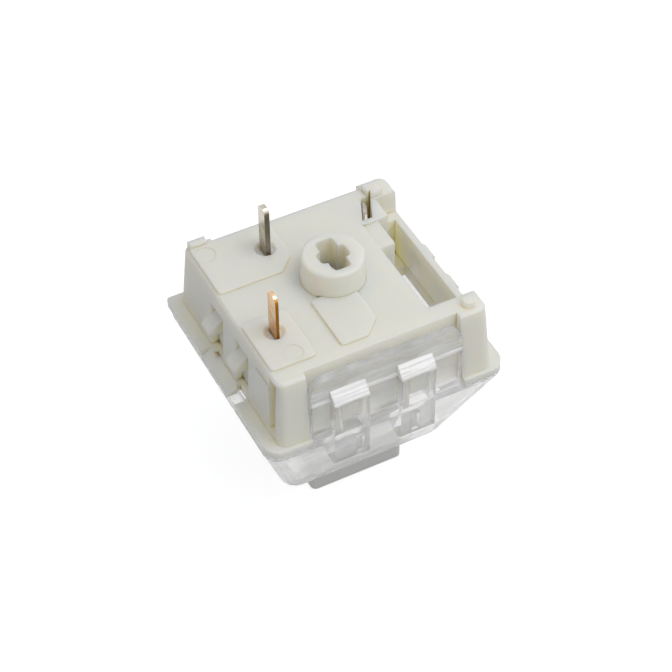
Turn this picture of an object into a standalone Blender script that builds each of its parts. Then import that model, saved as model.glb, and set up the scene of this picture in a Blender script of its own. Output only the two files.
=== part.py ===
"""Clicky box-stem keyboard switch, upside down: it stands on its stem, pins and centre post up.

The origin is on the stem's end face, on the stem's axis. +Z runs from the keycap end to the circuit board,
-Y is the side of the two pins, and +Y is the side of the lamp pocket. Lengths are in metres.
"""
import math

import bmesh
import bpy
from mathutils import Matrix, Vector

MM = 0.001

# Levels, up from the end of the stem
TRAVEL = 3.6 * MM
TOP_FACE = 3.5 * MM
PLATE_SEAT = 10.15 * MM
PLATE_TO_BOARD = 5.0 * MM
BOARD_PLANE = PLATE_SEAT + PLATE_TO_BOARD
STANDOFF = 0.4 * MM
FLOOR_FACE = BOARD_PLANE - STANDOFF
FLOOR_WALL = 1.0 * MM
FLOOR_INSIDE = FLOOR_FACE - FLOOR_WALL
POST_PROUD = 1.8 * MM
POST_TOP = FLOOR_FACE + POST_PROUD

# Clearances
FIT = 0.05 * MM
RUNNING = 0.12 * MM
CUT = 1.0 * MM

# Bottom housing, half widths at the flange and at the floor face
BODY_SEAT_X = 6.95 * MM
BODY_SEAT_Y = 6.95 * MM
BODY_DRAFT_X = 0.55 * MM
BODY_DRAFT_Y = 0.2 * MM
BODY_FACE_X = BODY_SEAT_X - BODY_DRAFT_X
BODY_FACE_Y = BODY_SEAT_Y - BODY_DRAFT_Y
BODY_CORNER = 0.5 * MM
BODY_EDGE = 0.14 * MM
SIDE_RECESS = 1.0 * MM
SIDE_WALL_X = BODY_SEAT_X - SIDE_RECESS
SIDE_LOW_Y = -5.0 * MM
SIDE_HIGH_Y = 4.9 * MM
CHAMBER_WALL_X = 0.85 * MM
CHAMBER_WALL_Y = 0.9 * MM
CHAMBER_X = SIDE_WALL_X - CHAMBER_WALL_X
CHAMBER_LOW_Y = -BODY_SEAT_Y + CHAMBER_WALL_Y
CHAMBER_HIGH_Y = 3.05 * MM

# Flange, on which the switch sits in its mounting plate
FLANGE_PROUD_X = 0.25 * MM
FLANGE_PROUD_Y = 0.85 * MM
FLANGE_X = BODY_SEAT_X + FLANGE_PROUD_X
FLANGE_Y = BODY_SEAT_Y + FLANGE_PROUD_Y
FLANGE_THICK = 0.5 * MM
FLANGE_CORNER = 1.0 * MM
FLANGE_TIGHT_CORNER = 0.25 * MM
FLANGE_UNDER = PLATE_SEAT - FLANGE_THICK

# Grooves and panel on the column at the pins' side
COLUMN_GROOVE_X = (5.3 * MM, 6.1 * MM)
COLUMN_GROOVE_DEPTH = 0.9 * MM
COLUMN_GROOVE_FOOT = 0.25 * MM
COLUMN_GROOVE_DROP = (0.25 * MM, 1.5 * MM)
WALL_PANEL_X = 3.6 * MM
WALL_PANEL_PROUD = 0.12 * MM
WALL_PANEL_DROP = 1.0 * MM

# Centre post
POST_BASE_RADIUS = 1.95 * MM
POST_TOP_RADIUS = 1.86 * MM
POST_EDGE = 0.12 * MM
POST_SLOT_X = 1.32 * MM
POST_SLOT_Y = 0.58 * MM
POST_LOBE_X = 0.52 * MM
POST_LOBE_Y = 0.95 * MM
SLOT_CORNER = 0.3 * MM

# Raised pads and marks on the floor face
PAD_PROUD = 0.16 * MM
SILVER_PAD_X = -1.65 * MM
SILVER_PAD_Y = -1.4 * MM
SILVER_PAD_CHAMFER = 1.05 * MM
GOLD_PAD_X = (1.2 * MM, 5.2 * MM)
GOLD_PAD_Y = -3.7 * MM
SHIELD_PAD_X = (1.3 * MM, 5.25 * MM)
SHIELD_PAD_Y = (-2.15 * MM, 0.6 * MM)
SHIELD_PAD_CHAMFER = 1.05 * MM
PAD_MARGIN = 0.05 * MM
PAD_ROOT = 0.25 * MM
PAD_CORNER = 0.2 * MM
EJECTOR_RADIUS = 0.62 * MM
EJECTOR_DEPTH = 0.03 * MM
EJECTOR_MARKS = ((-4.95 * MM, -5.9 * MM), (4.5 * MM, -4.9 * MM))
FAR_STANDOFF_X = (-5.87 * MM, -4.9 * MM)
FAR_STANDOFF_Y = (4.95 * MM, 5.95 * MM)
LEFT_STANDOFF_X = (-6.22 * MM, -5.8 * MM)
LEFT_STANDOFF_Y = (-6.5 * MM, -5.42 * MM)
RIGHT_STANDOFF = (5.66 * MM, 5.85 * MM)
RIGHT_STANDOFF_RADII = (0.45 * MM, 0.38 * MM)

# Lamp pocket on the +Y side
POCKET_X = (-3.05 * MM, 4.85 * MM)
POCKET_STEP_X = -0.9 * MM
POCKET_INNER_Y = 3.55 * MM
POCKET_STEP_Y = 4.6 * MM
POCKET_STEP_DROP = 0.15 * MM
LAMP_WALL = 0.57 * MM
POCKET_OUTER_Y = BODY_SEAT_Y - LAMP_WALL
POCKET_SILL = 0.25 * MM
POCKET_FLOOR = PLATE_SEAT + POCKET_SILL
LAMP_WALL_DROP = 1.7 * MM
LAMP_END_X = -4.8 * MM
LAMP_END_Y = 5.3 * MM
POCKET_END_X = -4.1 * MM
LIGHT_WINDOW_X = (-2.6 * MM, 2.6 * MM)
LIGHT_WINDOW_Y = (4.95 * MM, 6.3 * MM)

# Plate clips: ranges in X on each side
PIN_SIDE_CLIPS = ((-2.55 * MM, -1.45 * MM), (0.8 * MM, 1.95 * MM))
LAMP_SIDE_CLIPS = ((-2.1 * MM, -0.95 * MM), (0.85 * MM, 1.95 * MM))
CLIP_PROUD = 0.48 * MM
CLIP_GRIP = 1.7 * MM
CLIP_HEIGHT = 1.3 * MM
CLIP_NOSE = 0.3 * MM
CLIP_POCKET_DEPTH = 0.5 * MM
CLIP_ROOT = 0.12 * MM
CLIP_CHEEK = 0.1 * MM
CLIP_GAP = 0.62 * MM
CLIP_POCKET_TOP = 1.7 * MM
CLIP_HOLES = ((-1.75 * MM, -1.3 * MM), (1.3 * MM, 2.45 * MM))
CLIP_HOLE_IN = 0.12 * MM
CLIP_HOLE_OUT = 0.13 * MM
FLANGE_RAMP_X = (-2.2 * MM, 1.45 * MM)
FLANGE_RAMP_EDGE = 0.15 * MM
FLANGE_NOTCH_X = (1.45 * MM, 2.6 * MM)
FLANGE_NOTCH_ROOT = 0.1 * MM

# Pins and terminals
SILVER_PIN = (-3.81 * MM, -2.54 * MM)
SILVER_SECTION = (0.85 * MM, 0.33 * MM)
SILVER_PROUD = 3.5 * MM
SILVER_TIP = FLOOR_FACE + SILVER_PROUD
GOLD_PIN = (2.54 * MM, -5.08 * MM)
GOLD_SECTION = (1.0 * MM, 0.2 * MM)
GOLD_PROUD = 3.2 * MM
GOLD_TIP = FLOOR_FACE + GOLD_PROUD
SILVER_TIP_TAPER = 0.3 * MM
GOLD_TIP_TAPER = 0.45 * MM
TIP_STEPS = 8
PIN_SINK_RADIUS = 0.6 * MM
PIN_SINK_DEPTH = 0.22 * MM
PIN_SINK_SLANT = 0.15
CONTACT_Z = 11.0 * MM
LEAF_THICK = 0.1 * MM
LEAF_HEIGHT = 0.9 * MM
LEAF_Y = -4.3 * MM
LEAF_END_X = 1.3 * MM
BEAD_X = 0.85 * MM
BEAD_SIZE = 0.14 * MM
BEAD_LENGTH = 0.6 * MM
BEAD_GAP = 0.01 * MM
LEAF_INSET = 0.1 * MM

# Contact box cover and the pusher that works through it
COVER_X = (-3.1 * MM, 4.9 * MM)
COVER_Y = -3.3 * MM
COVER_WALL = 0.3 * MM
COVER_LOW = 9.8 * MM
PUSHER_X = -0.4 * MM
PUSHER_WIDE = 1.1 * MM
PUSHER_HIGH = 0.7 * MM
PUSHER_STROKE = 0.215 * MM
PUSHER_LEAD = 0.1 * MM
PUSHER_TAPER = 0.2 * MM

# Return spring
SPRING_RADIUS = 2.02 * MM
SPRING_WIRE = 0.14 * MM
SPRING_ROOM = 0.19 * MM
SPRING_TURNS = 9
SPRING_POINTS = 16
SPRING_WELL_RADIUS = SPRING_RADIUS + SPRING_WIRE + SPRING_ROOM
SPRING_WELL_DEPTH = 0.5 * MM

# Stem
STEM_X = 3.05 * MM
STEM_Y = 3.13 * MM
STEM_CORNER = 0.35 * MM
STEM_EDGE = 0.12 * MM
STEM_WALL = 0.5 * MM
CROSS_LENGTH = 4.05 * MM
CROSS_ARM_X = 1.27 * MM
CROSS_ARM_Y = 1.12 * MM
CROSS_DEPTH = 3.7 * MM
SHOULDER_X = 3.7 * MM
SHOULDER_Y = 3.6 * MM
SHOULDER_THICK = 0.9 * MM
SKIRT_WALL_X = 0.75 * MM
SKIRT_WALL_Y = 0.25 * MM
SKIRT_X = SPRING_WELL_RADIUS + SKIRT_WALL_X
SKIRT_Y = SPRING_WELL_RADIUS + SKIRT_WALL_Y
RAIL_X = 4.2 * MM
RAIL_WIDE = 1.2 * MM
RIB_WIDE = 0.5 * MM
RIB_GRIP = 0.35 * MM
LOBE_X = (-2.7 * MM, -1.8 * MM)
LOBE_PROUD = 0.5 * MM
LOBE_Z = (8.1 * MM, 9.1 * MM)
LOBE_FLAT = 0.2 * MM
LOBE_TAIL = 0.5 * MM

# Click bar
CLICK_WIRE = 0.175 * MM
CLICK_X = -4.27 * MM
CLICK_Y = 4.36 * MM
CLICK_SINK = 0.3 * MM
CLICK_Z = FLOOR_FACE - CLICK_SINK
CLICK_HALF_X = 0.66 * MM
CLICK_SLOPE = -0.45
CLICK_BEND = 0.35 * MM
CLICK_ARM_END = 11.9 * MM
CLICK_TIP = (-1.65 * MM, 3.36 * MM, 11.2 * MM)
CLICK_SLOT_HALF_X = 0.9 * MM
CLICK_SLOT_LOW = 0.23 * MM
CLICK_SLOT_HIGH = 0.44 * MM
CLICK_ROOM_X = -1.4 * MM
CLICK_ROOM_Y = 4.4 * MM
CLICK_WELL_X = -3.3 * MM
CLICK_WELL_Y = 5.0 * MM

# Top housing
BAND_HIGH = 0.2 * MM
TOP_LEAN_X = 2.34 * MM
TOP_LEAN_Y = (2.13 * MM, 2.73 * MM)
TOP_END_X = FLANGE_X - TOP_LEAN_X
TOP_END_Y = (-FLANGE_Y + TOP_LEAN_Y[0], FLANGE_Y - TOP_LEAN_Y[1])
TOP_WALL = 0.9 * MM
TOP_ROOF = 1.0 * MM
TOP_CORNER = 1.0 * MM
TOP_CAVITY_CORNER = 0.4 * MM
TOP_EDGE = 0.12 * MM

# Top housing's skirts between the corner columns, and the loops on them
SKIRT_GAP = 0.1 * MM
SKIRT_THICK = 0.5 * MM
SKIRT_PLATE_X = (BODY_SEAT_X - SKIRT_GAP - SKIRT_THICK, BODY_SEAT_X - SKIRT_GAP)
SKIRT_DROP = 0.38 * MM
SKIRT_PLATE_TOP = FLOOR_FACE - SKIRT_DROP
SKIRT_BACK_DROP = 0.55 * MM
SKIRT_CORNERS = (0.8 * MM, 0.9 * MM)
SKIRT_STEP = 0.07 * MM
SKIRT_STEP_DROP = 1.95 * MM
SKIRT_STEP_TOP = FLOOR_FACE - SKIRT_STEP_DROP
LOOP_Y = (-2.65 * MM, 1.67 * MM)
LOOP_WIDE = 2.25 * MM
LOOP_LEG = 0.48 * MM
LOOP_BULGE = 0.65 * MM
LOOP_X = SKIRT_PLATE_X[1] + LOOP_BULGE
LOOP_RAMP = 0.85 * MM
LOOP_BAR = 0.12 * MM
LOOP_TOP_DROP = 1.23 * MM
LOOP_TOP = FLOOR_FACE - LOOP_TOP_DROP
LOOP_FOOT_DROP = 2.7 * MM
LOOP_FOOT = PLATE_SEAT - LOOP_FOOT_DROP
LOOP_FOOT_TAPER = 0.35 * MM
LOOP_ROOT = 0.15 * MM
LOOP_SILL = 0.15 * MM
LOOP_POCKETS = ((-2.35 * MM, -1.87 * MM), (1.27 * MM, 1.77 * MM))
LOOP_POCKET_Z = (PLATE_SEAT - 2.35 * MM, PLATE_SEAT - 0.85 * MM)
LOOP_POCKET_DEPTH = 0.35 * MM
HOOK_PROUD = 1.35 * MM
HOOK_FACE = 1.5 * MM
HOOK_ROOT = 0.2 * MM

COLOURS = {
    "ivory": ((0.72, 0.69, 0.60), 0.45, 0.0),
    "clear": ((0.78, 0.80, 0.82), 0.12, 0.0),
    "pale": ((0.62, 0.64, 0.68), 0.35, 0.0),
    "steel": ((0.55, 0.55, 0.56), 0.25, 1.0),
    "nickel": ((0.60, 0.58, 0.54), 0.28, 1.0),
    "copper": ((0.80, 0.48, 0.26), 0.3, 1.0),
    "gold": ((0.90, 0.68, 0.30), 0.25, 1.0),
    "white": ((0.80, 0.80, 0.78), 0.45, 0.0),
}


def clear_scene():
    """Remove every object that the file starts with."""
    for item in list(bpy.data.objects):
        bpy.data.objects.remove(item, do_unlink=True)


def new_collection(name):
    """Add a collection to the scene and return it."""
    collection = bpy.data.collections.new(name)
    bpy.context.scene.collection.children.link(collection)
    return collection


def finish_material(name):
    """Return the Principled material of a finish in COLOURS."""
    material = bpy.data.materials.get(name)
    if material is None:
        colour, roughness, metallic = COLOURS[name]
        material = bpy.data.materials.new(name)
        material.use_nodes = True
        shader = material.node_tree.nodes["Principled BSDF"]
        shader.inputs["Base Color"].default_value = (*colour, 1.0)
        shader.inputs["Roughness"].default_value = roughness
        shader.inputs["Metallic"].default_value = metallic
    return material


class Workshop:
    """Holds the collections and makes the solids that go in them."""

    def __init__(self):
        self.parts = new_collection("keyboard switch")
        self.tools = new_collection("cutters")

    def add(self, name, bm):
        """Put a bmesh in an object among the cutters and the shapes that are still to be joined."""
        mesh = bpy.data.meshes.new(name)
        bmesh.ops.recalc_face_normals(bm, faces=bm.faces)
        if bm.calc_volume(signed=True) < 0.0:
            bmesh.ops.reverse_faces(bm, faces=bm.faces)
        bm.to_mesh(mesh)
        bm.free()
        item = bpy.data.objects.new(name, mesh)
        item.hide_render = True
        item.display_type = "WIRE"
        self.tools.objects.link(item)
        return item

    def keep(self, item, finish, origin=(0.0, 0.0, 0.0)):
        """Make an object a part of the switch, with its material and its origin."""
        self.tools.objects.unlink(item)
        self.parts.objects.link(item)
        item.hide_render = False
        item.display_type = "TEXTURED"
        item.data.materials.clear()
        item.data.materials.append(finish_material(finish))
        item.data.transform(Matrix.Translation(origin).inverted())
        item.location = origin
        return item

    def loft(self, name, sections):
        """Skin a list of (height, outline) sections, each outline with as many points as the others."""
        bm = bmesh.new()
        rings = [[bm.verts.new((x, y, height)) for x, y in outline] for height, outline in sections]
        for low, high in zip(rings, rings[1:]):
            for index in range(len(low)):
                after = (index + 1) % len(low)
                bm.faces.new((low[index], low[after], high[after], high[index]))
        bm.faces.new(reversed(rings[0]))
        bm.faces.new(rings[-1])
        return self.add(name, bm)

    def prism(self, name, outline, low, high, axes="xyz"):
        """Extrude a flat outline between two values; axes says where its own x, y and thickness run.

        The outline is a filled curve drawn in millimetres, because the fill merges points closer
        than 0.03 units.
        """
        curve = bpy.data.curves.new(name, "CURVE")
        curve.dimensions = "2D"
        curve.fill_mode = "BOTH"
        curve.extrude = 1.0
        spline = curve.splines.new("POLY")
        spline.points.add(len(outline) - 1)
        for point, (x, y) in zip(spline.points, outline):
            point.co = (x / MM, y / MM, 0.0, 1.0)
        spline.use_cyclic_u = True
        drawn = bpy.data.objects.new(name, curve)
        self.tools.objects.link(drawn)
        graph = bpy.context.evaluated_depsgraph_get()
        flat = bpy.data.meshes.new_from_object(drawn.evaluated_get(graph))
        bm = bmesh.new()
        bm.from_mesh(flat)
        bmesh.ops.remove_doubles(bm, verts=bm.verts, dist=0.001)
        for vert in bm.verts:
            place = vert.co.xy * MM
            x, y = min(outline, key=lambda point: (place - Vector(point)).length_squared)
            own = (x, y, high if vert.co.z > 0.0 else low)
            vert.co = [own[axes.index(axis)] for axis in "xyz"]
        bpy.data.objects.remove(drawn, do_unlink=True)
        bpy.data.curves.remove(curve)
        bpy.data.meshes.remove(flat)
        return self.add(name, bm)

    def block(self, name, x, y, z):
        """A box between two values on each axis."""
        bm = bmesh.new()
        bmesh.ops.create_cube(bm, size=1.0)
        ranges = [sorted(x), sorted(y), sorted(z)]
        for vert in bm.verts:
            vert.co = [ends[1] if value > 0.0 else ends[0] for ends, value in zip(ranges, vert.co)]
        return self.add(name, bm)

    def cylinder(self, name, centre, radii, z, segments=32):
        """A straight or tapered cylinder along Z, with its low and high radius."""
        bm = bmesh.new()
        bmesh.ops.create_cone(
            bm, cap_ends=True, segments=segments, radius1=radii[0], radius2=radii[1], depth=z[1] - z[0]
        )
        bm.transform(Matrix.Translation((centre[0], centre[1], sum(z) / 2.0)))
        return self.add(name, bm)

    def wire(self, name, points, radius, finish, origin=(0.0, 0.0, 0.0)):
        """A round wire through a list of points, with closed ends."""
        curve = bpy.data.curves.new(name, "CURVE")
        curve.dimensions = "3D"
        curve.bevel_depth = radius
        curve.bevel_resolution = 2
        curve.use_fill_caps = True
        spline = curve.splines.new("POLY")
        spline.points.add(len(points) - 1)
        for point, place in zip(spline.points, points):
            point.co = (*(Vector(place) - Vector(origin)), 1.0)
        curve.materials.append(finish_material(finish))
        item = bpy.data.objects.new(name, curve)
        item.location = origin
        self.parts.objects.link(item)
        return item

    def boolean(self, target, other, operation):
        """Add one Boolean step to a solid."""
        step = target.modifiers.new(other.name, "BOOLEAN")
        step.operation = operation
        step.solver = "EXACT"
        step.object = other

    def join(self, target, *others):
        """Fuse other solids to a solid."""
        for other in others:
            self.boolean(target, other, "UNION")

    def cut(self, target, *others):
        """Cut other solids out of a solid."""
        for other in others:
            self.boolean(target, other, "DIFFERENCE")


def rounded(half_x, half_y, radius, centre=(0.0, 0.0), steps=4):
    """Outline of a rectangle with round corners, counter-clockwise."""
    points = []
    for turn, (sign_x, sign_y) in enumerate(((1, 1), (-1, 1), (-1, -1), (1, -1))):
        corner_x = centre[0] + sign_x * (half_x - radius)
        corner_y = centre[1] + sign_y * (half_y - radius)
        for step in range(steps + 1):
            angle = math.radians(90.0 * turn + 90.0 * step / steps)
            points.append((corner_x + radius * math.cos(angle), corner_y + radius * math.sin(angle)))
    return points


def cross_outline(slot_x, slot_y, lobe_x, lobe_y, radius):
    """A long slot crossed by a short one, both with round ends, as two outlines."""
    return rounded(slot_x, slot_y, radius), rounded(lobe_x, lobe_y, min(radius, lobe_x * 0.95))


def side(value):
    """A range from a value outwards past every part on that side."""
    far = FLANGE_Y + CUT
    return (value, far) if value > 0.0 else (-far, value)


def flange_outline():
    """The flange's outline, with one corner tighter than the other three."""
    wide = rounded(FLANGE_X, FLANGE_Y, FLANGE_CORNER)
    tight = rounded(FLANGE_X, FLANGE_Y, FLANGE_TIGHT_CORNER)
    third = slice(len(wide) // 2, len(wide) * 3 // 4)
    wide[third] = tight[third]
    return wide


def shell_body(shop):
    """The bottom housing's drafted body with its flange, before anything is cut from it."""
    body = shop.loft(
        "bottom_housing",
        [
            (FLANGE_UNDER, rounded(BODY_SEAT_X, BODY_SEAT_Y, BODY_CORNER)),
            (PLATE_SEAT, rounded(BODY_SEAT_X, BODY_SEAT_Y, BODY_CORNER)),
            (FLOOR_FACE - BODY_EDGE, rounded(BODY_FACE_X, BODY_FACE_Y, BODY_CORNER)),
            (FLOOR_FACE, rounded(BODY_FACE_X - BODY_EDGE, BODY_FACE_Y - BODY_EDGE, BODY_CORNER - BODY_EDGE)),
        ],
    )
    flange = shop.prism("flange", flange_outline(), FLANGE_UNDER, PLATE_SEAT)
    shop.join(body, flange)
    return body


def cut_outside(shop, body):
    """Recess the two X sides between the corner columns, and groove the wall of the pins' side."""
    tall = (FLANGE_UNDER - CUT, FLOOR_FACE + CUT)
    for sign, name in ((1, "front"), (-1, "back")):
        recess = shop.block(name + " recess", side(sign * SIDE_WALL_X), (SIDE_LOW_Y, SIDE_HIGH_Y), tall)
        shop.cut(body, recess)
    panel = shop.block(
        "wall panel",
        (WALL_PANEL_X, sum(COLUMN_GROOVE_X) / 2.0),
        (-BODY_FACE_Y - WALL_PANEL_PROUD, -BODY_FACE_Y + WALL_PANEL_PROUD * 3.0),
        (PLATE_SEAT - FLANGE_THICK / 2.0, FLOOR_FACE - WALL_PANEL_DROP),
    )
    groove = shop.prism(
        "column groove",
        [
            (side(-FLANGE_Y)[0], PLATE_SEAT + COLUMN_GROOVE_FOOT),
            (-BODY_FACE_Y + COLUMN_GROOVE_DEPTH, PLATE_SEAT + COLUMN_GROOVE_FOOT),
            (-BODY_FACE_Y + COLUMN_GROOVE_DEPTH, FLOOR_FACE - COLUMN_GROOVE_DROP[1]),
            (-BODY_FACE_Y, FLOOR_FACE - COLUMN_GROOVE_DROP[0]),
            (side(-FLANGE_Y)[0], FLOOR_FACE - COLUMN_GROOVE_DROP[0]),
        ],
        *COLUMN_GROOVE_X,
        axes="yzx",
    )
    shop.join(body, panel)
    shop.cut(body, groove)


def cut_inside(shop, body):
    """Hollow the mechanism's chamber with the click bar's room, and add ribs for the stem's rails."""
    deep = (FLANGE_UNDER - CUT, FLOOR_INSIDE)
    chamber = shop.block("chamber", (-CHAMBER_X, CHAMBER_X), (CHAMBER_LOW_Y, CHAMBER_HIGH_Y), deep)
    overlap_y = CHAMBER_HIGH_Y - CUT
    room = shop.block("click room", (-CHAMBER_X, CLICK_ROOM_X), (overlap_y, CLICK_ROOM_Y), deep)
    well = shop.block("click well", (-CHAMBER_X, CLICK_WELL_X), (overlap_y, CLICK_WELL_Y), deep)
    slot = shop.prism("click slot", click_slot(), FLOOR_INSIDE - CUT, FLOOR_FACE + CUT)
    spring_well = shop.cylinder(
        "spring well",
        (0.0, 0.0),
        (SPRING_WELL_RADIUS, SPRING_WELL_RADIUS),
        (FLOOR_INSIDE - CUT, FLOOR_INSIDE + SPRING_WELL_DEPTH),
    )
    shop.cut(body, chamber, room, well, slot, spring_well)
    rib_y = (RAIL_WIDE / 2.0 + RUNNING, RAIL_WIDE / 2.0 + RUNNING + RIB_WIDE)
    rib_x = (RAIL_X - RIB_GRIP, CHAMBER_X + RIB_GRIP)
    for sign_x in (1, -1):
        for sign_y in (1, -1):
            rib = shop.block(
                f"rib {sign_x:+d} {sign_y:+d}",
                [sign_x * value for value in rib_x],
                [sign_y * value for value in rib_y],
                (FLANGE_UNDER, FLOOR_INSIDE + FIT),
            )
            shop.join(body, rib)


def click_slot():
    """The slanted slot's outline: its ends run along Y, its long sides along the click bar."""
    outline = []
    for along, across in ((-1, -1), (1, -1), (1, 1), (-1, 1)):
        x = CLICK_X + along * CLICK_SLOT_HALF_X
        run_y = CLICK_Y + along * CLICK_SLOT_HALF_X * CLICK_SLOPE
        outline.append((x, run_y + (CLICK_SLOT_HIGH if across > 0 else -CLICK_SLOT_LOW)))
    return outline


def cut_lamp_pocket(shop, body):
    """Lower the lamp side's outer wall and open the lamp pocket behind it, with its light window."""
    above = FLOOR_FACE + CUT
    drop = FLOOR_FACE - LAMP_WALL_DROP
    step_face = FLOOR_FACE - POCKET_STEP_DROP
    start, end = POCKET_X
    overlap = POCKET_STEP_Y + CUT / 2.0
    cuts = (
        ("lowered end", (LAMP_END_X, start + CUT), side(LAMP_END_Y), (drop, above)),
        ("lowered wall", (start, end), side(POCKET_STEP_Y), (drop, above)),
        ("pocket end", (POCKET_END_X, start + CUT), (LAMP_END_Y, POCKET_OUTER_Y), (POCKET_FLOOR, above)),
        ("pocket step", (start, POCKET_STEP_X + CUT), (POCKET_INNER_Y, overlap), (step_face, above)),
        ("pocket long", (start, end), (POCKET_STEP_Y, POCKET_OUTER_Y), (POCKET_FLOOR, above)),
        ("pocket inner", (POCKET_STEP_X, end), (POCKET_INNER_Y, overlap), (POCKET_FLOOR, above)),
        ("light window", LIGHT_WINDOW_X, LIGHT_WINDOW_Y, (FLANGE_UNDER - CUT, POCKET_FLOOR + CUT)),
    )
    for name, x, y, z in cuts:
        shop.cut(body, shop.block(name, x, y, z))


def clip_wedge(shop, name, sign, ends):
    """A wedge on one Y side: flat on the plate's side, ramped on the board's side."""
    grip = PLATE_SEAT + CLIP_GRIP
    root = sign * (BODY_SEAT_Y - CLIP_POCKET_DEPTH - CLIP_ROOT)
    nose = sign * (BODY_SEAT_Y + CLIP_PROUD)
    outline = [(root, grip), (nose, grip), (nose, grip + CLIP_NOSE), (root, grip + CLIP_HEIGHT)]
    return shop.prism(name, outline, *ends, axes="yzx")


def add_clips(shop, body):
    """Wedges that snap behind the mounting plate, each over a relief pocket.

    On the pins' side the relief goes on past the wedge and has a hole through the flange. The flange falls
    away in a ramp below the first wedge and has a notch past the second.
    """
    grip = PLATE_SEAT + CLIP_GRIP
    through = (FLANGE_UNDER - CUT, PLATE_SEAT + CLIP_GRIP / 2.0)
    for low_x, high_x in LAMP_SIDE_CLIPS:
        name = f"lamp side clip {low_x / MM:+.1f}"
        relief_y = side(BODY_SEAT_Y - CLIP_POCKET_DEPTH)
        relief_x = (low_x + CLIP_CHEEK, high_x - CLIP_CHEEK)
        relief_z = (PLATE_SEAT, grip + CLIP_HEIGHT / 3.0)
        shop.cut(body, shop.block(name + " relief", relief_x, relief_y, relief_z))
        shop.join(body, clip_wedge(shop, name, 1, (low_x, high_x)))
    hole_y = (-BODY_SEAT_Y - CLIP_HOLE_OUT, -BODY_SEAT_Y + CLIP_HOLE_IN)
    for (low_x, high_x), hole_x in zip(PIN_SIDE_CLIPS, CLIP_HOLES):
        name = f"pin side clip {low_x / MM:+.1f}"
        relief_y = side(-BODY_SEAT_Y + CLIP_POCKET_DEPTH)
        relief_x = (low_x + CLIP_CHEEK, high_x + CLIP_GAP)
        shop.cut(
            body,
            shop.block(name + " relief", relief_x, relief_y, (PLATE_SEAT, grip + CLIP_POCKET_TOP)),
            shop.block(name + " hole", hole_x, hole_y, through),
        )
        shop.join(body, clip_wedge(shop, name, -1, (low_x, high_x)))
    root = -BODY_SEAT_Y - FLANGE_NOTCH_ROOT
    ramp = [
        (root, PLATE_SEAT),
        (root, PLATE_SEAT + CUT),
        (-FLANGE_Y - CUT, PLATE_SEAT + CUT),
        (-FLANGE_Y - CUT, FLANGE_UNDER + FLANGE_RAMP_EDGE),
        (-FLANGE_Y, FLANGE_UNDER + FLANGE_RAMP_EDGE),
    ]
    shop.cut(
        body,
        shop.prism("flange ramp", ramp, *FLANGE_RAMP_X, axes="yzx"),
        shop.block("flange notch", FLANGE_NOTCH_X, side(root), through),
    )


def loop_window():
    """Low and high end of the loops' windows."""
    return PLATE_SEAT + LOOP_SILL, LOOP_TOP - LOOP_RAMP - LOOP_BAR


def add_hooks(shop, body):
    """Ramped hooks on the two X sides that hold the top housing's loops."""
    low, high = loop_window()
    half = LOOP_WIDE / 2.0 - LOOP_LEG - FIT
    for sign in (1, -1):
        for loop_y in LOOP_Y:
            outline = [
                (sign * (SIDE_WALL_X - HOOK_ROOT), high - FIT),
                (sign * (SIDE_WALL_X + HOOK_PROUD), high - FIT),
                (sign * (SIDE_WALL_X + HOOK_PROUD), high - FIT - HOOK_FACE),
                (sign * (SIDE_WALL_X + HOOK_ROOT), low + FIT),
                (sign * (SIDE_WALL_X - HOOK_ROOT), low + FIT),
            ]
            name = f"hook {sign:+d} {loop_y / MM:+.1f}"
            hook = shop.prism(name, outline, loop_y - half, loop_y + half, axes="xzy")
            shop.join(body, hook)


def add_pads(shop, body):
    """The three raised pads on the floor face: round the silver pin, round the gold pin, and the shield."""
    proud = (FLOOR_FACE - PAD_ROOT, FLOOR_FACE + PAD_PROUD)
    edge_x = -SIDE_WALL_X + PAD_MARGIN
    edge_y = -BODY_FACE_Y + BODY_EDGE + PAD_MARGIN
    silver = [
        (edge_x, edge_y),
        (SILVER_PAD_X, edge_y),
        (SILVER_PAD_X, SILVER_PAD_Y - SILVER_PAD_CHAMFER),
        (SILVER_PAD_X - SILVER_PAD_CHAMFER, SILVER_PAD_Y),
        (edge_x, SILVER_PAD_Y),
    ]
    gold = [
        (GOLD_PAD_X[0], edge_y),
        (GOLD_PAD_X[1], edge_y),
        (GOLD_PAD_X[1], GOLD_PAD_Y),
        (GOLD_PAD_X[0], GOLD_PAD_Y),
    ]
    shield = [
        (SHIELD_PAD_X[0], SHIELD_PAD_Y[0]),
        (SHIELD_PAD_X[1], SHIELD_PAD_Y[0]),
        (SHIELD_PAD_X[1], SHIELD_PAD_Y[1] - SHIELD_PAD_CHAMFER),
        (SHIELD_PAD_X[1] - SHIELD_PAD_CHAMFER, SHIELD_PAD_Y[1]),
        (SHIELD_PAD_X[0], SHIELD_PAD_Y[1]),
    ]
    for name, outline in (("silver pad", silver), ("gold pad", gold), ("shield pad", shield)):
        shop.join(body, shop.prism(name, soften(outline, PAD_CORNER), *proud))


def add_standoffs(shop, body):
    """The three small bumps at the corners that the circuit board rests on."""
    standoff = (FLOOR_FACE - PAD_ROOT, BOARD_PLANE)
    shop.join(
        body,
        shop.block("far standoff", FAR_STANDOFF_X, FAR_STANDOFF_Y, standoff),
        shop.block("left standoff", LEFT_STANDOFF_X, LEFT_STANDOFF_Y, standoff),
        shop.cylinder("right standoff", RIGHT_STANDOFF, RIGHT_STANDOFF_RADII, standoff, 20),
    )


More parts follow.
